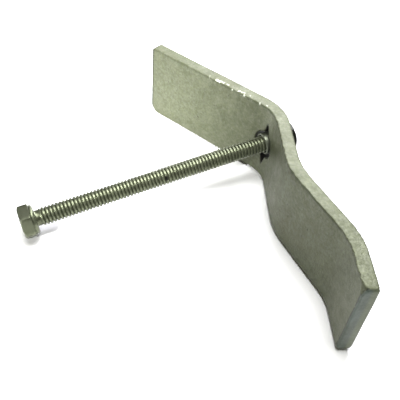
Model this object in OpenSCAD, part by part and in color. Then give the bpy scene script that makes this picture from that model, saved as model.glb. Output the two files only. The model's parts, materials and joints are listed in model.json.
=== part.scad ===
// Bolted strap clamp: a bent flat-bar strap, a long full-thread hex bolt through
// the hole in its bend, and a hex nut whose round collar sits in that hole.
// X runs along the strap, +Y points away from the bolt head, +Z is the strap's width.
// The origin is under the middle of the main bend, on the strap's lower edge.

/* [Strap] */
// Width of the flat bar
strap_w = 31.75; // [25:0.25:40]
// Thickness of the flat bar
strap_t = 4.76; // [3:0.01:6]
// Straight length of the long arm
long_arm = 53.6; // [40:0.1:70]
// Straight length between the main bend and the joggle
short_arm = 17.7; // [12:0.1:25]
// Straight length of the joggle's flat
joggle_flat = 22.7; // [16:0.1:30]
// Straight length of the end lip
end_lip = 13.4; // [8:0.1:20]
// Angle of each arm from the X axis at the main bend
arm_lean = 24; // [15:0.5:30]
// Angle of the bend between the short arm and the joggle's flat
joggle_turn = 23.5; // [10:0.5:30]
// Angle of the bend between the joggle's flat and the end lip
lip_turn = 24.5; // [10:0.5:30]
// Inside radius of the main bend
main_bend_r = 14.3; // [10:0.1:20]
// Inside radius of the bend into the joggle's flat
joggle_bend_r = 25.7; // [15:0.1:35]
// Inside radius of the bend into the end lip
lip_bend_r = 20.8; // [12:0.1:30]
// Radius of the worn lower corner of the long arm
worn_corner_r = 3.5; // [1:0.1:6]
// Radius of the other three end corners
end_corner_r = 1.2; // [0.4:0.1:3]

/* [Hole] */
// Diameter of the round part of the hole
hole_d = 11; // [9:0.1:12]
// Height between the pointed ends of the hole
hole_point_h = 19.4; // [14:0.1:22]
// Width of each pointed nick where it leaves the round
nick_w = 2.6; // [1:0.1:7]

/* [Bolt] */
// Diameter over the thread crests
bolt_d = 6.3; // [5:0.01:8]
// Length under the head
bolt_l = 99.6; // [90:0.1:110]
// Length from the middle of the strap's wall to the end of the thread
tip_reach = 8.6; // [8:0.1:12]
// Angle by which the head hangs below the strap's square
droop = 6.75; // [0:0.05:7]
// Angle by which the bolt points towards the short arm
swing = 3.45; // [0:0.05:4]
// Width of the head and the nut across flats
across_flats = 11.11; // [10:0.01:12]
// Height of the head's hexagon
head_h = 4; // [3:0.05:5]
// Height of the round shoulder under the hexagon
shoulder_h = 1.2; // [0.3:0.1:2]
// Turn of the head about its axis, from resting flat
head_turn = 6; // [0:1:30]
// Thickness of the nut's hexagon
nut_h = 5.56; // [3:0.01:6]
// Diameter of the nut's collar in the hole
collar_d = 8.4; // [7.4:0.1:8.4]
// How far the collar reaches in front of the middle of the strap's wall
collar_reach = 3.3; // [0:0.1:3.5]

/* [Hidden] */
$fn = 72;
// Flats that make up each bend
bend_steps = 12;
// Where the bolt's axis passes the middle of the strap's wall
axis_x = 0;
axis_z = 16.75;
// Height at which the sides of a nick meet the round of the hole
nick_root = sqrt(pow(hole_d / 2, 2) - pow(nick_w / 2, 2));
// Gap that lets the tilted nut turn behind the bend
nut_gap = 0.92;
nut_start = strap_t / 2 + nut_gap;
// Bore of the nut, and the countersink at the collar's mouth
nut_bore_d = bolt_d + 0.1;
countersink_d = nut_bore_d + 1;
countersink_h = 0.5;
// Plain neck, shoulder and point of the bolt
neck_d = 5.7;
neck_l = 1.9;
shoulder_d = across_flats - 0.7;
shoulder_chamfer = 0.5;
tip_chamfer = 0.9;
// Corner radius of the hexagon, and the turned chamfer's radius at the face and its slope
corner_r = across_flats / sqrt(3);
chamfer_r = across_flats / 2 - 0.2;
chamfer_slope = 1.7;
cut_margin = 1;

// A pose on the strap's middle line is [x, y, heading]; this is the pose after a straight stretch
function run(pose, length) =
    [pose[0] + length * cos(pose[2]), pose[1] + length * sin(pose[2]), pose[2]];

// The poses round a bend, from its start; a positive angle turns towards +Y
function bend(pose, angle, inside_r) =
    let (mid_r = sign(angle) * (inside_r + strap_t / 2))
    [for (i = [0 : bend_steps])
        let (heading = pose[2] + angle * i / bend_steps)
        [
            pose[0] + mid_r * (sin(heading) - sin(pose[2])),
            pose[1] - mid_r * (cos(heading) - cos(pose[2])),
            heading
        ]];

function last(list) = list[len(list) - 1];
function reversed(list) = [for (i = [len(list) - 1 : -1 : 0]) list[i]];

// From the middle of the main bend to the end of each arm
main_half_bend = bend([0, 0, 0], -arm_lean, main_bend_r);
long_end = run(last(main_half_bend), long_arm);
joggle_bend = bend(run(last(main_half_bend), short_arm), joggle_turn, joggle_bend_r);
lip_bend = bend(run(last(joggle_bend), joggle_flat), -lip_turn, lip_bend_r);
lip_end = run(last(lip_bend), end_lip);

// The whole middle line, with the long arm mirrored to the -X side
long_side = [for (p = concat(main_half_bend, [long_end])) [-p[0], p[1], -p[2]]];
short_side = concat(main_half_bend, joggle_bend, lip_bend, [lip_end]);
middle_line = concat(reversed([for (i = [1 : len(long_side) - 1]) long_side[i]]), short_side);

// A point beside a pose, towards +Y where the distance is positive
function beside(pose, distance) =
    [pose[0] - distance * sin(pose[2]), pose[1] + distance * cos(pose[2])];

// The strap seen from above
module strap_outline()
    polygon(concat(
        [for (p = middle_line) beside(p, -strap_t / 2)],
        [for (p = reversed(middle_line)) beside(p, strap_t / 2)]
    ));

// Moves the children to a pose on the middle line
module at_pose(pose)
    translate([pose[0], pose[1], 0]) rotate([0, 0, pose[2]]) children();

// Moves the children to the end of the long arm, with +X pointing off the end
module at_long_end()
    mirror([1, 0, 0]) at_pose(long_end) children();

// Moves the children to the end of the lip, with +X pointing off the end
module at_lip_end()
    at_pose(lip_end) children();

// What is cut away to round a corner of radius r; the corner is at the local origin
module corner_waste(r, up)
    mirror([0, 0, up ? 1 : 0])
        translate([-r, 0, 0]) rotate([90, 0, 0])
            linear_extrude(height = strap_t + 2 * cut_margin, center = true)
                difference() {
                    translate([0, -cut_margin]) square([r + cut_margin, r + cut_margin]);
                    translate([0, r]) circle(r = r);
                    translate([-cut_margin, 0]) square([cut_margin, 2 * r]);
                }

// The round hole with a pointed nick above and below it, on the line of the bend
module hole()
    translate([0, 0, strap_w / 2]) rotate([90, 0, 0])
        linear_extrude(height = 2 * (strap_t + cut_margin), center = true) {
            circle(d = hole_d);
            polygon([
                [0, hole_point_h / 2],
                [nick_w / 2, nick_root],
                [nick_w / 2, -nick_root],
                [0, -hole_point_h / 2],
                [-nick_w / 2, -nick_root],
                [-nick_w / 2, nick_root]
            ]);
        }

module strap()
    color([0.56, 0.58, 0.52])
        difference() {
            linear_extrude(height = strap_w) strap_outline();
            hole();
            at_long_end() corner_waste(worn_corner_r, false);
            at_long_end() translate([0, 0, strap_w]) corner_waste(end_corner_r, true);
            at_lip_end() corner_waste(end_corner_r, false);
            at_lip_end() translate([0, 0, strap_w]) corner_waste(end_corner_r, true);
        }

// Places children on the bolt's axis: local +Z runs from the head to the tip, and
// local z = 0 is the middle of the strap's wall
module on_bolt_axis()
    translate([axis_x, 0, axis_z]) rotate([droop, 0, -swing]) rotate([-90, 0, 0]) children();

// A cone that chamfers the corners of a hexagon at its lower face
module chamfer_cone(height)
    cylinder(r1 = chamfer_r, r2 = chamfer_r + chamfer_slope * height, h = height);

// A hexagon across the flats, chamfered at its upper face or at both faces
module hexagon(height, both)
    intersection() {
        cylinder(r = corner_r, h = height, $fn = 6);
        translate([0, 0, height]) mirror([0, 0, 1]) chamfer_cone(height);
        if (both) chamfer_cone(height);
    }

module hex_bolt()
    color([0.72, 0.71, 0.66])
        on_bolt_axis()
            translate([0, 0, tip_reach - bolt_l]) {
                mirror([0, 0, 1])
                    translate([0, 0, shoulder_h]) rotate([0, 0, -head_turn]) hexagon(head_h, false);
                translate([0, 0, -shoulder_h])
                    cylinder(d = shoulder_d, h = shoulder_h - shoulder_chamfer);
                translate([0, 0, -shoulder_chamfer])
                    cylinder(d1 = shoulder_d, d2 = shoulder_d - 2 * shoulder_chamfer, h = shoulder_chamfer);
                cylinder(d = neck_d, h = neck_l);
                translate([0, 0, neck_l]) cylinder(d = bolt_d, h = bolt_l - neck_l - tip_chamfer);
                translate([0, 0, bolt_l - tip_chamfer])
                    cylinder(d1 = bolt_d, d2 = bolt_d - 2 * tip_chamfer, h = tip_chamfer);
            }

module hex_nut()
    color([0.66, 0.66, 0.62])
        on_bolt_axis()
            difference() {
                union() {
                    translate([0, 0, nut_start]) hexagon(nut_h, true);
                    translate([0, 0, -collar_reach])
                        cylinder(d = collar_d, h = collar_reach + nut_start + nut_h / 2);
                }
                translate([0, 0, -collar_reach - cut_margin])
                    cylinder(d = nut_bore_d, h = collar_reach + nut_start + nut_h + 2 * cut_margin);
                translate([0, 0, -collar_reach])
                    cylinder(d1 = countersink_d, d2 = nut_bore_d, h = countersink_h);
            }

strap();
hex_bolt();
hex_nut();
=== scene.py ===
"""Looks of the bolted strap clamp: galvanised strap, plated full-thread hex bolt and collar nut."""
import json
import math

import bmesh
import bpy
import numpy as np
from mathutils import Matrix, Vector
from mathutils.kdtree import KDTree


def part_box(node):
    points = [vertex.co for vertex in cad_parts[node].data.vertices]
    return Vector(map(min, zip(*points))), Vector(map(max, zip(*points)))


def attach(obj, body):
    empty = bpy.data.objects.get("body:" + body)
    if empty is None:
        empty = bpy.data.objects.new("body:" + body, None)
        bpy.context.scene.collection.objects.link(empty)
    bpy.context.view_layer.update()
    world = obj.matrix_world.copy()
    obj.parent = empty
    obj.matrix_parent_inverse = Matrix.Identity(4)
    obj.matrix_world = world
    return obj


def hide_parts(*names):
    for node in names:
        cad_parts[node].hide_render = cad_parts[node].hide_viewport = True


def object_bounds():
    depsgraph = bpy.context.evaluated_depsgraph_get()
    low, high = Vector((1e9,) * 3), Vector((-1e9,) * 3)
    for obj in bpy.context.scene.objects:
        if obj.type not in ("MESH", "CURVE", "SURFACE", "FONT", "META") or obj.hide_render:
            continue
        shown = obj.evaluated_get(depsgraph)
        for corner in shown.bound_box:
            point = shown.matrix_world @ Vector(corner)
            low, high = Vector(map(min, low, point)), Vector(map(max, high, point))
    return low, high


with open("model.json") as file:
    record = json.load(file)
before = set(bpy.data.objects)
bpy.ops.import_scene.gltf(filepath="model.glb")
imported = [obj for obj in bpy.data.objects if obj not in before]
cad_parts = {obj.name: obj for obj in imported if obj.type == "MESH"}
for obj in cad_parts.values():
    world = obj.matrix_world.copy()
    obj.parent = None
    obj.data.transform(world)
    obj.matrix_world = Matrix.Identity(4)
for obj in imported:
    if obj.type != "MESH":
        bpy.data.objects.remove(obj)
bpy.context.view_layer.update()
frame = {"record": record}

MM = 0.001

# ---------------------------------------------------------------- sizes, in millimetres
STRAP_LOW, STRAP_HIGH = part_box("strap")
STRAP_W = (STRAP_HIGH[2] - STRAP_LOW[2]) / MM
STRAP_T = 4.76
LONG_ARM = 53.6
SHORT_ARM = 17.7
JOGGLE_FLAT = 22.7
END_LIP = 13.4
ARM_LEAN = math.radians(24)
JOGGLE_TURN = math.radians(23.5)
LIP_TURN = math.radians(24.5)
MAIN_BEND_R = 14.3
JOGGLE_BEND_R = 25.7
LIP_BEND_R = 20.8
WORN_CORNER_R = 3.5
END_CORNER_R = 1.2
ROLLED_EDGE_R = 1.5
HOLE_R = 5.5
HOLE_POINT = 9.7
NICK_HALF_W = 1.3
# height above the hole's middle at which a nick's sides meet the round
NICK_ROOT = math.sqrt(HOLE_R ** 2 - NICK_HALF_W ** 2)

BOLT_R = 3.18
BOLT_L = 99.6
TIP_REACH = 8.6
PITCH = 1.27
THREAD_DEPTH = 0.50
NECK_R = 2.8
NECK_L = 1.9
ACROSS_FLATS = 11.11
HEAD_H = 4.0
SHOULDER_H = 1.2
SHOULDER_R = (ACROSS_FLATS - 0.7) / 2
HEAD_TURN = math.radians(6)
NUT_START = STRAP_T / 2 + 0.92
NUT_H = 5.56
NUT_BORE_R = 3.2
COLLAR_R = 4.2
COLLAR_REACH = 3.3
# a cone radius that leaves the hexagon's corners whole
NO_CHAMFER = 99

# ---------------------------------------------------------------- mesh fineness
LINE_STEP = 0.8            # millimetres between sections on a straight
BEND_STEPS = 16
STRAP_ROWS = 40            # sections' divisions across the strap's width
HOLE_SIDES = 144
VOXEL = 0.36               # millimetres
SECTORS = 72               # divisions round the bolt and the nut
BOLT_STEPS = 14            # rings for each pitch of the bolt's thread
NUT_STEPS = 12
SHARP_ANGLE = 32           # degrees; edges over this stay sharp on the bolt and the nut

# distances in millimetres from a loft's end, close together where its edge is eased
END_STEPS = (0, 0.15, 0.4, 0.75)
FOOT_STEPS = (0, 0.12, 0.35, 0.7, 1.1)

# the knocked-off corner of the lip: reach along the strap and down it, depth, and push
KNOCK_REACH, KNOCK_DEPTH, KNOCK_PUSH, KNOCK_DROP = 3.6, 2.4, 1.1, 0.5
# where along the strap, in millimetres, the sheared edge is chipped bright
CHIPS_FADE_IN, CHIPS_FADE_OUT = (28, 34), (60, 54)
# the gouge across the bolt's thread
GOUGE_Z, GOUGE_ANGLE, GOUGE_DEPTH = 43.4, math.radians(-22), 0.5
# the head's upper facet, which gets painted shade, by the angle of its middle
SHADED_FACET = HEAD_TURN - math.pi / 2

JOINTS = {joint["name"]: joint for joint in frame["record"]["behaviour"]["joints"]}
BOLT_AXIS = Vector(JOINTS["bolt_feed"]["axis"]).normalized()
AXIS_POINT = Vector(JOINTS["nut_turn"]["pos_m"])


# ---------------------------------------------------------------- helpers
def new_object(name, verts, faces):
    """A mesh object from points in millimetres."""
    mesh = bpy.data.meshes.new(name)
    mesh.from_pydata([Vector(v) * MM for v in verts], [], faces)
    mesh.validate()
    mesh.update()
    obj = bpy.data.objects.new(name, mesh)
    bpy.context.collection.objects.link(obj)
    return obj


def outward(obj):
    """Turns every face of a closed mesh outward."""
    bm = bmesh.new()
    bm.from_mesh(obj.data)
    bmesh.ops.recalc_face_normals(bm, faces=bm.faces)
    bm.to_mesh(obj.data)
    bm.free()


def shade_smooth(obj, sharp_angle=None):
    """Smooth shading, with edges over the angle kept sharp."""
    obj.data.polygons.foreach_set("use_smooth", [True] * len(obj.data.polygons))
    if sharp_angle is not None:
        obj.data.set_sharp_from_angle(angle=math.radians(sharp_angle))


def apply_modifiers(obj):
    """Bakes the modifiers into the object's mesh."""
    graph = bpy.context.evaluated_depsgraph_get()
    mesh = bpy.data.meshes.new_from_object(obj.evaluated_get(graph))
    obj.modifiers.clear()
    old = obj.data
    obj.data = mesh
    bpy.data.meshes.remove(old)


def coordinates(mesh):
    """A mesh's vertices as an array, in metres."""
    flat = np.empty(len(mesh.vertices) * 3, dtype=np.float32)
    mesh.vertices.foreach_get("co", flat)
    return flat.reshape(-1, 3).astype(float)


def set_coordinates(mesh, points):
    """Moves a mesh's vertices to points in metres."""
    mesh.vertices.foreach_set("co", points.astype(np.float32).ravel())
    mesh.update()


def smoothstep(low, high, value):
    """0 up to low and 1 from high, eased between them; low may be the larger."""
    t = np.clip((value - low) / (high - low), 0, 1)
    return t * t * (3 - 2 * t)


def lattice_noise(points, size, seed):
    """Smooth value noise in -1..1 at points in millimetres; the same every run."""
    cells = points / size
    base = np.floor(cells).astype(np.int64)
    part = cells - base
    part = part * part * (3 - 2 * part)
    total = np.zeros(len(points))
    for corner in range(8):
        offset = np.array([corner & 1, corner >> 1 & 1, corner >> 2 & 1])
        cell = base + offset
        mixed = cell[:, 0] * 73856093 ^ cell[:, 1] * 19349663 ^ cell[:, 2] * 83492791 ^ seed * 2654435761
        mixed = (mixed ^ mixed >> 13) * 1274126177 & 0x7FFFFFFF
        value = (mixed ^ mixed >> 16) % 65536 / 32767.5 - 1
        weight = np.prod(np.where(offset, part, 1 - part), axis=1)
        total += weight * value
    return total


# ---------------------------------------------------------------- strap
def run(pose, length):
    """The pose [x, y, heading] after a straight stretch."""
    x, y, heading = pose
    return (x + length * math.cos(heading), y + length * math.sin(heading), heading)


def straight(pose, length):
    """The poses along a straight stretch."""
    count = max(2, round(length / LINE_STEP))
    return [run(pose, length * i / count) for i in range(1, count + 1)]


def bend(pose, angle, inside_r):
    """The poses round a bend; a positive angle turns towards +Y."""
    mid_r = math.copysign(inside_r + STRAP_T / 2, angle)
    x, y, start = pose
    poses = []
    for i in range(1, BEND_STEPS + 1):
        heading = start + angle * i / BEND_STEPS
        poses.append((x + mid_r * (math.sin(heading) - math.sin(start)),
                      y - mid_r * (math.cos(heading) - math.cos(start)), heading))
    return poses


def middle_line():
    """Poses along the middle of the strap's wall, from the long arm's end to the lip's end."""
    crown = (0.0, 0.0, 0.0)
    half = bend(crown, -ARM_LEAN, MAIN_BEND_R)
    long_side = half + straight(half[-1], LONG_ARM)
    short_side = half + straight(half[-1], SHORT_ARM)
    short_side += bend(short_side[-1], JOGGLE_TURN, JOGGLE_BEND_R)
    short_side += straight(short_side[-1], JOGGLE_FLAT)
    short_side += bend(short_side[-1], -LIP_TURN, LIP_BEND_R)
    short_side += straight(short_side[-1], END_LIP)
    return [(-x, y, -heading) for x, y, heading in reversed(long_side)] + [crown] + short_side


def corner_rise(distance, radius):
    """How far a rounded corner lifts the edge at a distance from the end."""
    if distance >= radius:
        return 0.0
    return radius - math.sqrt(radius ** 2 - (radius - distance) ** 2)


def strap_solid():
    """The bent bar as a closed loft of four-sided sections."""
    line = middle_line()
    starts = [run(line[0], distance) for distance in END_STEPS]
    ends = [run(line[-1], -distance) for distance in reversed(END_STEPS)]
    line = starts + line[1:-1] + ends
    lengths = np.cumsum([0] + [math.dist(a[:2], b[:2]) for a, b in zip(line, line[1:])])
    upper_rows = STRAP_ROWS - len(FOOT_STEPS)
    verts, faces = [], []
    for (x, y, heading), along in zip(line, lengths):
        from_end = lengths[-1] - along
        low = corner_rise(along, WORN_CORNER_R) + corner_rise(from_end, END_CORNER_R)
        high = STRAP_W - corner_rise(along, END_CORNER_R) - corner_rise(from_end, END_CORNER_R)
        side = Vector((-math.sin(heading), math.cos(heading), 0))
        foot = [low + rise for rise in FOOT_STEPS]
        start = low + ROLLED_EDGE_R
        heights = foot + [start + (high - start) * i / upper_rows for i in range(upper_rows + 1)]
        half = [STRAP_T / 2 - corner_rise(z - low, ROLLED_EDGE_R) for z in heights]
        front = [Vector((x, y, z)) - side * h for z, h in zip(heights, half)]
        back = [Vector((x, y, z)) + side * h for z, h in reversed(list(zip(heights, half)))]
        verts += front + back
    ring = 2 * (STRAP_ROWS + 1)
    for i in range(len(line) - 1):
        for k in range(ring):
            a, b = i * ring + k, i * ring + (k + 1) % ring
            faces.append((a, b, b + ring, a + ring))
    faces.append(tuple(range(ring)))
    faces.append(tuple(reversed(range(len(verts) - ring, len(verts)))))
    return new_object("strap_body_mesh", verts, faces)


def hole_cutter():
    """A prism with the hole's outline: a round with a pointed nick above and below."""
    count = HOLE_SIDES
    outline = []
    for i in range(count):
        angle = 2 * math.pi * i / count
        across, up = abs(math.cos(angle)), abs(math.sin(angle))
        # the nick's side runs from its point down to where it meets the round
        nick_r = HOLE_POINT / (up + across * (HOLE_POINT - NICK_ROOT) / NICK_HALF_W)
        radius = max(HOLE_R, nick_r)
        outline.append((radius * math.cos(angle), STRAP_W / 2 + radius * math.sin(angle)))
    reach = 2 * STRAP_T
    verts = [(x, y, z) for y in (-reach, reach) for x, z in outline]
    faces = [tuple(range(count)), tuple(reversed(range(count, 2 * count)))]
    faces += [(i, count + i, count + (i + 1) % count, (i + 1) % count) for i in range(count)]
    cutter = new_object("hole_cutter", verts, faces)
    outward(cutter)
    return cutter


def path_coordinates(points):
    """For points in millimetres: distance along the strap, offset towards its back, height,
    and the unit vector towards the back."""
    line = middle_line()
    fine = []
    for a, b in zip(line, line[1:]):
        for t in np.linspace(0, 1, 4, endpoint=False):
            fine.append(np.array(a) * (1 - t) + np.array(b) * t)
    fine.append(np.array(line[-1]))
    fine = np.array(fine)
    along = np.concatenate([[0], np.cumsum(np.hypot(*np.diff(fine[:, :2], axis=0).T))])
    tree = KDTree(len(fine))
    for i, (x, y, _) in enumerate(fine):
        tree.insert((x, y, 0), i)
    tree.balance()
    nearest = np.array([tree.find((x, y, 0))[1] for x, y in points[:, :2]])
    heading = fine[nearest, 2]
    delta = points[:, :2] - fine[nearest, :2]
    offset = -delta[:, 0] * np.sin(heading) + delta[:, 1] * np.cos(heading)
    forward = delta[:, 0] * np.cos(heading) + delta[:, 1] * np.sin(heading)
    side = np.stack([-np.sin(heading), np.cos(heading), np.zeros(len(points))], axis=1)
    return along[nearest] + forward, offset, points[:, 2], side


def float_attribute(mesh, name, values):
    """Stores one number for each vertex, for the materials to read."""
    layer = mesh.attributes.new(name, "FLOAT", "POINT")
    layer.data.foreach_set("value", np.asarray(values, dtype=np.float32))


def make_strap():
    """The strap: a bent bar with its hole, soft edges, wear and a zinc coat."""
    strap = strap_solid()
    outward(strap)
    cutter = hole_cutter()
    cut = strap.modifiers.new("hole", "BOOLEAN")
    cut.operation = "DIFFERENCE"
    cut.solver = "EXACT"
    cut.object = cutter
    remesh = strap.modifiers.new("skin", "REMESH")
    remesh.mode = "VOXEL"
    remesh.voxel_size = VOXEL * MM
    smooth = strap.modifiers.new("soft_edges", "SMOOTH")
    smooth.factor = 0.5
    smooth.iterations = 2
    apply_modifiers(strap)
    bpy.data.objects.remove(cutter)

    mesh = strap.data
    points = coordinates(mesh) / MM
    along, offset, height, side = path_coordinates(points)
    front = smoothstep(0.2, 1.6, -offset)
    top_front = front * smoothstep(STRAP_W - 1.6, STRAP_W - 0.2, height)
    # the flat stretches are never quite flat
    wave = 0.07 * lattice_noise(points, 17, 1) + 0.035 * lattice_noise(points, 6, 2)
    # drips and pits of the zinc coat
    grain = 0.022 * lattice_noise(points, 1.5, 3) + 0.012 * lattice_noise(points, 0.8, 4)
    # the sheared edge breaks out in short steps
    shear_points = np.stack([along, np.zeros_like(along), np.zeros_like(along)], axis=1)
    shear = 0.10 * lattice_noise(shear_points, 2.6, 5) + 0.12 * lattice_noise(shear_points, 0.9, 6)
    # the lip's front upper corner is knocked off
    length = along.max()
    from_top = STRAP_W - height
    knock = 1 - (length - along) / KNOCK_REACH - from_top / KNOCK_REACH
    knock -= (offset + STRAP_T / 2) / KNOCK_DEPTH
    knock = np.clip(knock, 0, 1)
    # nothing moves near the hole
    from_hole = np.hypot(points[:, 0], height - STRAP_W / 2)
    calm = smoothstep(HOLE_R + 0.5, HOLE_R + 5, from_hole)
    points += side * (wave * calm + grain)[:, None]
    points += side * (shear * top_front + KNOCK_PUSH * knock)[:, None]
    points[:, 2] -= KNOCK_DROP * knock
    points[:, 2] -= np.maximum(0, -shear) * top_front * 0.7
    points[:, 2] = np.clip(points[:, 2], 0, None)
    set_coordinates(mesh, points * MM)
    sheared = smoothstep(*CHIPS_FADE_IN, along) * smoothstep(*CHIPS_FADE_OUT, along)
    float_attribute(mesh, "chips", top_front ** 3 * sheared)
    # painted shadow: a dark strip just under the top edge on the front face, where the burr shades it
    line = front * smoothstep(0.1, 0.4, from_top) * smoothstep(1.1, 0.6, from_top)
    float_attribute(mesh, "line", line)
    from_end = np.minimum(along, length - along)
    float_attribute(mesh, "cut_end", smoothstep(0.7, 0.3, from_end))
    # a broken strip just in from each cut end, on the front face, for the material to colour darker
    end_line = smoothstep(1.2, 0.8, from_end) * smoothstep(0.1, 0.4, from_end) * front
    float_attribute(mesh, "end_line", end_line)
    float_attribute(mesh, "across", offset / STRAP_T + 0.5)
    # painted shade: the hole's walls and its pointed nicks are coloured nearly black, where little light
    # reaches
    inside = smoothstep(HOLE_R + 0.2, HOLE_R - 0.1, from_hole)
    rise = np.abs(height - STRAP_W / 2)
    nick_side = np.abs(points[:, 0]) - NICK_HALF_W * (HOLE_POINT - rise) / (HOLE_POINT - NICK_ROOT)
    nick = smoothstep(0.45, 0.15, nick_side) * (rise < HOLE_POINT + 0.2) * (np.abs(offset) < STRAP_T)
    float_attribute(mesh, "hole_painted_shade", np.maximum(inside, nick))
    shade_smooth(strap)
    strap.name = "strap_zinc"
    return strap


# ---------------------------------------------------------------- bolt and nut
def on_axis():
    """The bolt's place: local +Z runs along it to its tip, and local +Y hangs down."""
    across = BOLT_AXIS.cross(Vector((0, 0, 1))).normalized()
    down = BOLT_AXIS.cross(across)
    turn = Matrix((across, down, BOLT_AXIS)).transposed().to_4x4()
    return Matrix.Translation(AXIS_POINT) @ turn


def hexagon_radius(angle, flats, corner_round=0.35):
    """Radius of a hexagon with its corners eased, a corner on local +X."""
    folded = (angle + math.pi / 6) % (math.pi / 3) - math.pi / 6
    sharp = flats / 2 / math.cos(math.pi / 6 - abs(folded))
    limit = flats / math.sqrt(3) - corner_round * 0.4
    return min(sharp, limit)


def thread_radius(z, angle, crest_r, depth):
    """Radius of a right-hand 60 degree thread at a height and an angle."""
    phase = (z / PITCH - angle / (2 * math.pi)) % 1
    away = abs(phase - 0.5) * 2           # 1 at the crest, 0 at the root
    ramp = min(max((away - 0.08) / 0.50, 0), 1)
    ramp = ramp * 0.6 + 0.4 * ramp * ramp * (3 - 2 * ramp)
    return crest_r - depth * (1 - ramp)


def ring_loft(name, rings, closed=False):
    """A closed mesh from rings, each (height, radius function of the angle)."""
    verts, faces = [], []
    angles = [2 * math.pi * k / SECTORS for k in range(SECTORS)]
    for z, radius in rings:
        verts += [(radius(a) * math.cos(a), radius(a) * math.sin(a), z) for a in angles]
    count = len(rings)
    for i in range(count if closed else count - 1):
        for k in range(SECTORS):
            a, b = i * SECTORS + k, i * SECTORS + (k + 1) % SECTORS
            c, d = ((i + 1) % count) * SECTORS + (k + 1) % SECTORS, ((i + 1) % count) * SECTORS + k
            faces.append((a, b, c, d))
    if not closed:
        faces.append(tuple(reversed(range(SECTORS))))
        faces.append(tuple(range(len(verts) - SECTORS, len(verts))))
    obj = new_object(name, verts, faces)
    outward(obj)
    return obj


def constant(radius):
    """A round ring."""
    return lambda angle: radius


def chamfered(flats, cone_r, turn=0.0):
    """A hexagon cut by a turned chamfer of a radius."""
    return lambda angle: min(hexagon_radius(angle - turn, flats), cone_r)


def make_bolt():
    """The bolt: hexagon, round shoulder, plain neck, full thread and chamfered tip."""
    bearing = TIP_REACH - BOLT_L
    under = bearing - SHOULDER_H
    outer = under - HEAD_H
    rings = []
    # outer face of the head, slightly dished, then its turned chamfer
    for radius, z in ((0.4, 0.10), (2.0, 0.08), (3.6, 0.04), (4.9, 0.0), (5.15, 0.02)):
        rings.append((outer + z, constant(radius)))
    for step in range(1, 8):
        drop = 0.12 + step * 0.13
        rings.append((outer + drop, chamfered(ACROSS_FLATS, 5.2 + drop * 1.55, HEAD_TURN)))
    for height in (1.3, 1.9, 2.5, 3.0):
        rings.append((outer + height, chamfered(ACROSS_FLATS, NO_CHAMFER, HEAD_TURN)))
    # the corners are eased on the shoulder's side too
    for rise, cone in ((0.62, NO_CHAMFER), (0.42, 6.3), (0.24, 6.12), (0.10, 5.85), (0.02, 5.5)):
        rings.append((under - rise, chamfered(ACROSS_FLATS, cone, HEAD_TURN)))
    # the round shoulder, eased at both edges
    shoulder = ((0.0, 0.05), (0.1, 0.0), (0.55, 0.0), (0.75, 0.06), (0.95, 0.22), (1.1, 0.42), (1.2, 0.75))
    for rise, inset in shoulder:
        rings.append((under + rise, constant(SHOULDER_R - inset)))
    rings.append((bearing, constant(NECK_R + 0.45)))
    rings.append((bearing + 0.12, constant(NECK_R + 0.16)))
    rings.append((bearing + 0.40, constant(NECK_R)))
    start = bearing + NECK_L * 0.5
    count = int((TIP_REACH - start) / PITCH * BOLT_STEPS)
    for i in range(count):
        z = start + i * PITCH / BOLT_STEPS
        fade = min(max((z - bearing - NECK_L * 0.6) / (1.1 * PITCH), 0), 1)
        chamfer_r = BOLT_R + 0.05 - max(0, z - (TIP_REACH - 0.95)) * 1.0

        def radius(angle, z=z, fade=fade, chamfer_r=chamfer_r):
            cut = thread_radius(z, angle, BOLT_R, THREAD_DEPTH)
            body = NECK_R * (1 - fade) + cut * fade
            return min(body, chamfer_r)
        rings.append((z, radius))
    for radius in (2.15, 1.4, 0.5):
        rings.append((TIP_REACH, constant(radius)))
    bolt = ring_loft("bolt_threaded", rings)
    points = coordinates(bolt.data) / MM
    # die marks and small dents, smaller than the thread
    noise = 0.012 * lattice_noise(points, 2.4, 11)
    lengths = np.maximum(np.hypot(points[:, 0], points[:, 1]), 0.4)
    points[:, :2] *= (1 - np.abs(noise) / lengths)[:, None]
    # one gouge across the thread
    turn = np.arctan2(points[:, 1], points[:, 0]) - GOUGE_ANGLE
    gouge = smoothstep(0.55, 0.25, np.abs(points[:, 2] + GOUGE_Z)) * smoothstep(0.42, 0.30, np.abs(turn))
    points[:, :2] *= (1 - GOUGE_DEPTH * gouge / lengths)[:, None]
    shank = smoothstep(bearing + 0.3, bearing + 0.8, points[:, 2])
    # painted shade: how deep a point lies in the thread's roots, for the material to darken it
    depth = np.clip((BOLT_R - lengths) / THREAD_DEPTH, 0, 1) * shank
    float_attribute(bolt.data, "depth", depth)
    # the head's upper facet gets painted shade, darker than the rest
    facet_turn = np.degrees(np.abs(np.arctan2(points[:, 1], points[:, 0]) - SHADED_FACET))
    facet_shade = smoothstep(32, 28, facet_turn) * (points[:, 2] < under) * (lengths > 4.9)
    # the gouge is darkened, and the head's upper facet gets painted shade
    float_attribute(bolt.data, "dark", np.maximum(gouge, 0.5 * facet_shade))
    set_coordinates(bolt.data, points * MM)
    bolt.data.transform(on_axis())
    shade_smooth(bolt, SHARP_ANGLE)
    return bolt


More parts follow.
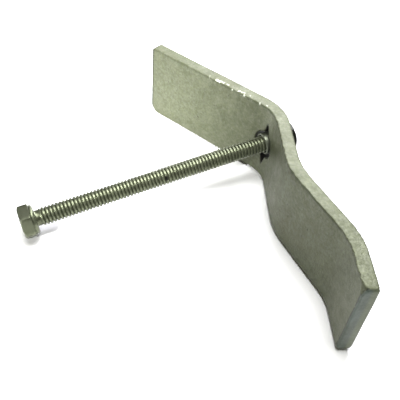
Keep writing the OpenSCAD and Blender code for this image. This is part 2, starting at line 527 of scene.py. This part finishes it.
def make_nut():
    """The nut: a round collar in the strap's hole, a hexagon behind it, and an internal thread."""
    front = -COLLAR_REACH
    back = NUT_START + NUT_H
    # the collar's outside, from its mouth to the hexagon
    collar = ((0.0, 0.45), (0.06, 0.22), (0.2, 0.06), (0.4, 0.0), (1.6, 0.0), (2.8, 0.0))
    rings = [(front + rise, constant(COLLAR_R - inset)) for rise, inset in collar]
    rings.append((NUT_START - 0.05, constant(COLLAR_R)))
    chamfer = [(0.0, 5.0), (0.0, 5.4), (0.25, 5.6), (0.5, 6.0), (0.75, 6.35), (1.0, NO_CHAMFER)]
    for rise, cone in chamfer:
        rings.append((NUT_START + rise, chamfered(ACROSS_FLATS, cone)))
    rings.append((NUT_START + NUT_H / 2, chamfered(ACROSS_FLATS, NO_CHAMFER)))
    for rise, cone in reversed(chamfer):
        rings.append((back - rise, chamfered(ACROSS_FLATS, cone)))
    rings.append((back, constant(3.75)))
    threaded = back - front - 0.9
    count = int(threaded / PITCH * NUT_STEPS)
    for i in range(count + 1):
        z = back - 0.4 - i * threaded / count

        def radius(angle, z=z):
            return 2 * NUT_BORE_R - thread_radius(z, angle + math.pi, NUT_BORE_R, THREAD_DEPTH * 0.7)
        rings.append((z, radius))
    rings.append((front, constant(3.72)))
    nut = ring_loft("nut_collar", rings, closed=True)
    points = coordinates(nut.data) / MM
    lengths = np.hypot(points[:, 0], points[:, 1])
    # painted shade: the nut's bore is darkened
    float_attribute(nut.data, "depth", smoothstep(3.8, 3.3, lengths))
    # painted shade: the hexagon behind the strap is coloured nearly black
    float_attribute(nut.data, "dark", smoothstep(NUT_START - 1.5, NUT_START - 0.2, points[:, 2]))
    nut.data.transform(on_axis())
    shade_smooth(nut, SHARP_ANGLE)
    return nut


# ---------------------------------------------------------------- materials
class Graph:
    """A short way to write shader nodes."""

    def __init__(self, name):
        self.material = bpy.data.materials.new(name)
        self.material.use_nodes = True
        self.tree = self.material.node_tree
        self.tree.nodes.clear()
        self.shader = self.add("ShaderNodeBsdfPrincipled")
        output = self.add("ShaderNodeOutputMaterial")
        self.link(self.shader.outputs[0], output.inputs["Surface"])
        self.place = self.add("ShaderNodeTexCoord").outputs["Object"]

    def add(self, kind, **settings):
        node = self.tree.nodes.new(kind)
        for key, value in settings.items():
            setattr(node, key, value)
        return node

    def link(self, source, target):
        self.tree.links.new(source, target)

    def feed(self, socket, value):
        if isinstance(value, bpy.types.NodeSocket):
            self.link(value, socket)
        else:
            socket.default_value = value

    def noise(self, size_mm, detail, roughness):
        node = self.add("ShaderNodeTexNoise")
        self.link(self.place, node.inputs["Vector"])
        node.inputs["Scale"].default_value = 1 / (size_mm * MM)
        node.inputs["Detail"].default_value = detail
        node.inputs["Roughness"].default_value = roughness
        return node.outputs["Fac"]

    def cells(self, size_mm):
        """A random colour for each cell."""
        node = self.add("ShaderNodeTexVoronoi")
        self.link(self.place, node.inputs["Vector"])
        node.inputs["Scale"].default_value = 1 / (size_mm * MM)
        return node.outputs["Color"]

    def attribute(self, name):
        return self.add("ShaderNodeAttribute", attribute_name=name).outputs["Fac"]

    def stretch(self, value, low, high, to_low=0.0, to_high=1.0):
        """Maps low..high to to_low..to_high, held at both ends."""
        node = self.add("ShaderNodeMapRange")
        self.link(value, node.inputs["Value"])
        ends = {"From Min": low, "From Max": high, "To Min": to_low, "To Max": to_high}
        for key, number in ends.items():
            node.inputs[key].default_value = number
        return node.outputs["Result"]

    def math(self, operation, a, b):
        node = self.add("ShaderNodeMath", operation=operation)
        self.feed(node.inputs[0], a)
        self.feed(node.inputs[1], b)
        return node.outputs[0]

    def mix(self, factor, a, b):
        node = self.add("ShaderNodeMix", data_type="RGBA")
        self.feed(node.inputs["Factor"], factor)
        for socket, value in ((node.inputs[6], a), (node.inputs[7], b)):
            self.feed(socket, (*value, 1) if isinstance(value, tuple) and len(value) == 3 else value)
        return node.outputs[2]

    def bump(self, height, distance_mm, strength=1.0, normal=None):
        node = self.add("ShaderNodeBump")
        node.inputs["Strength"].default_value = strength
        node.inputs["Distance"].default_value = distance_mm * MM
        self.link(height, node.inputs["Height"])
        if normal is not None:
            self.link(normal, node.inputs["Normal"])
        return node.outputs["Normal"]


def galvanised():
    """Dull, mottled zinc, with a painted shadow line under its top edge, a darker broken strip by each cut
    end, painted shade in the hole, bright chips and bare cut ends.
    """
    g = Graph("galvanised_zinc")
    mottle = g.stretch(g.noise(6, 4, 0.65), 0.35, 0.65)
    spangle = g.cells(1.1)
    grain = g.stretch(g.noise(0.9, 4, 0.8), 0.38, 0.62)
    colour = g.mix(mottle, (0.078, 0.088, 0.044), (0.110, 0.122, 0.067))
    colour = g.mix(g.math("MULTIPLY", g.stretch(spangle, 0.2, 0.9), 0.35), colour, (0.175, 0.185, 0.14))
    colour = g.mix(g.math("MULTIPLY", grain, 0.6), colour, (0.050, 0.056, 0.030))
    stain = g.stretch(g.noise(26, 2, 0.5), 0.52, 0.68)
    colour = g.mix(g.math("MULTIPLY", stain, 0.35), colour, (0.085, 0.088, 0.046))
    # painted shadow line under the top edge
    colour = g.mix(g.math("MULTIPLY", g.attribute("line"), 0.5), colour, (0.04, 0.045, 0.025))
    chips = g.math("MULTIPLY", g.attribute("chips"), g.stretch(g.noise(1.5, 1, 0.5), 0.56, 0.62))
    colour = g.mix(chips, colour, (0.60, 0.63, 0.52))
    pits = g.stretch(g.noise(1.6, 1, 0.5), 0.76, 0.80)
    colour = g.mix(g.math("MULTIPLY", pits, 0.8), colour, (0.03, 0.027, 0.018))
    # darker in a broken strip just in from each cut end, on the front face
    end_dark_strip = g.math("MULTIPLY", g.attribute("end_line"), g.stretch(g.noise(1.3, 2, 0.6), 0.34, 0.44))
    colour = g.mix(end_dark_strip, colour, (0.02, 0.022, 0.014))
    streak = g.stretch(g.attribute("across"), 0.65, 0.45)
    bare = g.mix(mottle, (0.070, 0.084, 0.062), (0.092, 0.114, 0.096))
    cut_steel = g.mix(streak, (0.110, 0.125, 0.082), bare)
    colour = g.mix(g.attribute("cut_end"), colour, cut_steel)
    # painted shade: nearly black in the hole and its nicks
    colour = g.mix(g.attribute("hole_painted_shade"), colour, (0.015, 0.015, 0.011))
    g.link(colour, g.shader.inputs["Base Color"])
    g.shader.inputs["Metallic"].default_value = 0.4
    g.shader.inputs["Specular IOR Level"].default_value = 0.35
    rough = g.stretch(g.noise(3.5, 3, 0.6), 0.3, 0.7, 0.40, 0.54)
    g.link(rough, g.shader.inputs["Roughness"])
    normal = g.bump(g.noise(0.8, 4, 0.65), 0.16, 0.8)
    normal = g.bump(g.noise(4.0, 2, 0.5), 0.25, 0.35, normal)
    g.link(normal, g.shader.inputs["Normal"])
    return g.material


def plated(name, light, dark):
    """Satin zinc plating, with painted shade in the thread's roots, and near black wherever the dark
    attribute is set.
    """
    g = Graph(name)
    blotch = g.stretch(g.noise(5, 3, 0.6), 0.35, 0.65)
    colour = g.mix(blotch, light, tuple(c * 0.82 for c in light))
    depth = g.attribute("depth")
    # painted shade in the thread's roots and the nut's bore
    colour = g.mix(g.math("MULTIPLY", depth, 0.6), colour, dark)
    # near black where the dark attribute is set: painted shade on the head's upper facet and the nut's
    # hexagon, and the gouge darkened
    colour = g.mix(g.math("MULTIPLY", g.attribute("dark"), 0.9), colour, (0.012, 0.012, 0.010))
    specks = g.stretch(g.noise(0.7, 2, 0.6), 0.66, 0.74)
    colour = g.mix(g.math("MULTIPLY", specks, 0.6), colour, tuple(c * 0.5 for c in dark))
    g.link(colour, g.shader.inputs["Base Color"])
    g.shader.inputs["Metallic"].default_value = 0.85
    g.link(g.stretch(g.noise(1.6, 3, 0.6), 0.3, 0.7, 0.34, 0.46), g.shader.inputs["Roughness"])
    g.link(g.bump(g.noise(0.9, 2, 0.5), 0.02, 0.3), g.shader.inputs["Normal"])
    return g.material


def pale_floor():
    """A plain, nearly white floor."""
    g = Graph("pale_floor")
    colour = g.mix(g.noise(300, 2, 0.5), (0.93, 0.93, 0.93), (0.96, 0.96, 0.96))
    g.link(colour, g.shader.inputs["Base Color"])
    g.shader.inputs["Roughness"].default_value = 0.9
    return g.material


def use(obj, material):
    obj.data.materials.clear()
    obj.data.materials.append(material)


# ---------------------------------------------------------------- camera, lights, floor
CAMERA_LENS = 50.16
CAMERA_AZIMUTH, CAMERA_ELEVATION, CAMERA_ROLL = (math.radians(a) for a in (58.58, 45.57, 6.2))
CAMERA_DISTANCE = 0.1908
CAMERA_TARGET = Vector((0.0169, -0.0387, 0.0159))
FLOOR_GAP = 0.0002
WORLD_COLOUR, WORLD_STRENGTH = (1, 1, 0.8, 1), 0.14


def look(obj, place, target, roll=0.0):
    """Aims an object's local -Z at a target, rolled about its line of sight."""
    away = (Vector(place) - Vector(target)).normalized()
    right = Vector((0, 0, 1)).cross(away).normalized()
    up = away.cross(right)
    turn = Matrix((right, up, away)).transposed() @ Matrix.Rotation(roll, 3, "Z")
    obj.matrix_world = Matrix.Translation(Vector(place)) @ turn.to_4x4()


def add_camera():
    data = bpy.data.cameras.new("camera")
    data.sensor_width = 36
    data.lens = CAMERA_LENS
    data.clip_start, data.clip_end = 0.005, 20
    camera = bpy.data.objects.new("camera", data)
    bpy.context.collection.objects.link(camera)
    level = math.cos(CAMERA_ELEVATION)
    back = Vector((math.sin(CAMERA_AZIMUTH) * level, -math.cos(CAMERA_AZIMUTH) * level,
                   math.sin(CAMERA_ELEVATION)))
    look(camera, CAMERA_TARGET + back * CAMERA_DISTANCE, CAMERA_TARGET, CAMERA_ROLL)
    bpy.context.scene.camera = camera


def area_light(name, place, target, size, power, colour=(1, 1, 1)):
    data = bpy.data.lights.new(name, "AREA")
    data.shape = "RECTANGLE"
    data.size, data.size_y = size
    data.energy = power
    data.color = colour
    light = bpy.data.objects.new(name, data)
    bpy.context.collection.objects.link(light)
    look(light, place, target)


def spot_light(name, place, target, angle, power):
    data = bpy.data.lights.new(name, "SPOT")
    data.spot_size = math.radians(angle)
    data.spot_blend = 1.0
    data.shadow_soft_size = 0.05
    data.energy = power
    light = bpy.data.objects.new(name, data)
    bpy.context.collection.objects.link(light)
    look(light, place, target)


def add_floor():
    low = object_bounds()[0]
    bpy.ops.mesh.primitive_plane_add(size=6, location=(0, 0, min(0, low[2]) - FLOOR_GAP))
    floor = bpy.context.object
    floor.name = "floor"
    use(floor, pale_floor())


def add_world():
    world = bpy.data.worlds.new("studio")
    bpy.context.scene.world = world
    world.use_nodes = True
    back = world.node_tree.nodes["Background"]
    back.inputs["Color"].default_value = WORLD_COLOUR
    back.inputs["Strength"].default_value = WORLD_STRENGTH


# ---------------------------------------------------------------- the object
strap = make_strap()
use(strap, galvanised())
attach(strap, "strap_body")
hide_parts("strap")

bolt = make_bolt()
use(bolt, plated("plated_bolt_zinc", (0.160, 0.176, 0.114), (0.066, 0.074, 0.042)))
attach(bolt, "bolt_body")
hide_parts("hex_bolt")

nut = make_nut()
# the nut's dark colour is painted shade for its bore
use(nut, plated("plated_nut_zinc", (0.150, 0.164, 0.122), (0.02, 0.02, 0.015)))
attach(nut, "nut_body")
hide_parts("hex_nut")

add_camera()
add_world()
area_light("key", (-0.40, 0.36, 0.55), (0, 0, 0), (0.4, 0.4), 10, (0.93, 0.92, 1.0))
area_light("top", (0.02, -0.03, 0.9), (0, -0.03, 0.01), (0.4, 0.4), 10)
spot_light("arm", (0.16, -0.42, 0.30), (-0.056, -0.03, 0.018), 10.5, 82)
add_floor()

scene = bpy.context.scene
scene.view_settings.view_transform = "Standard"
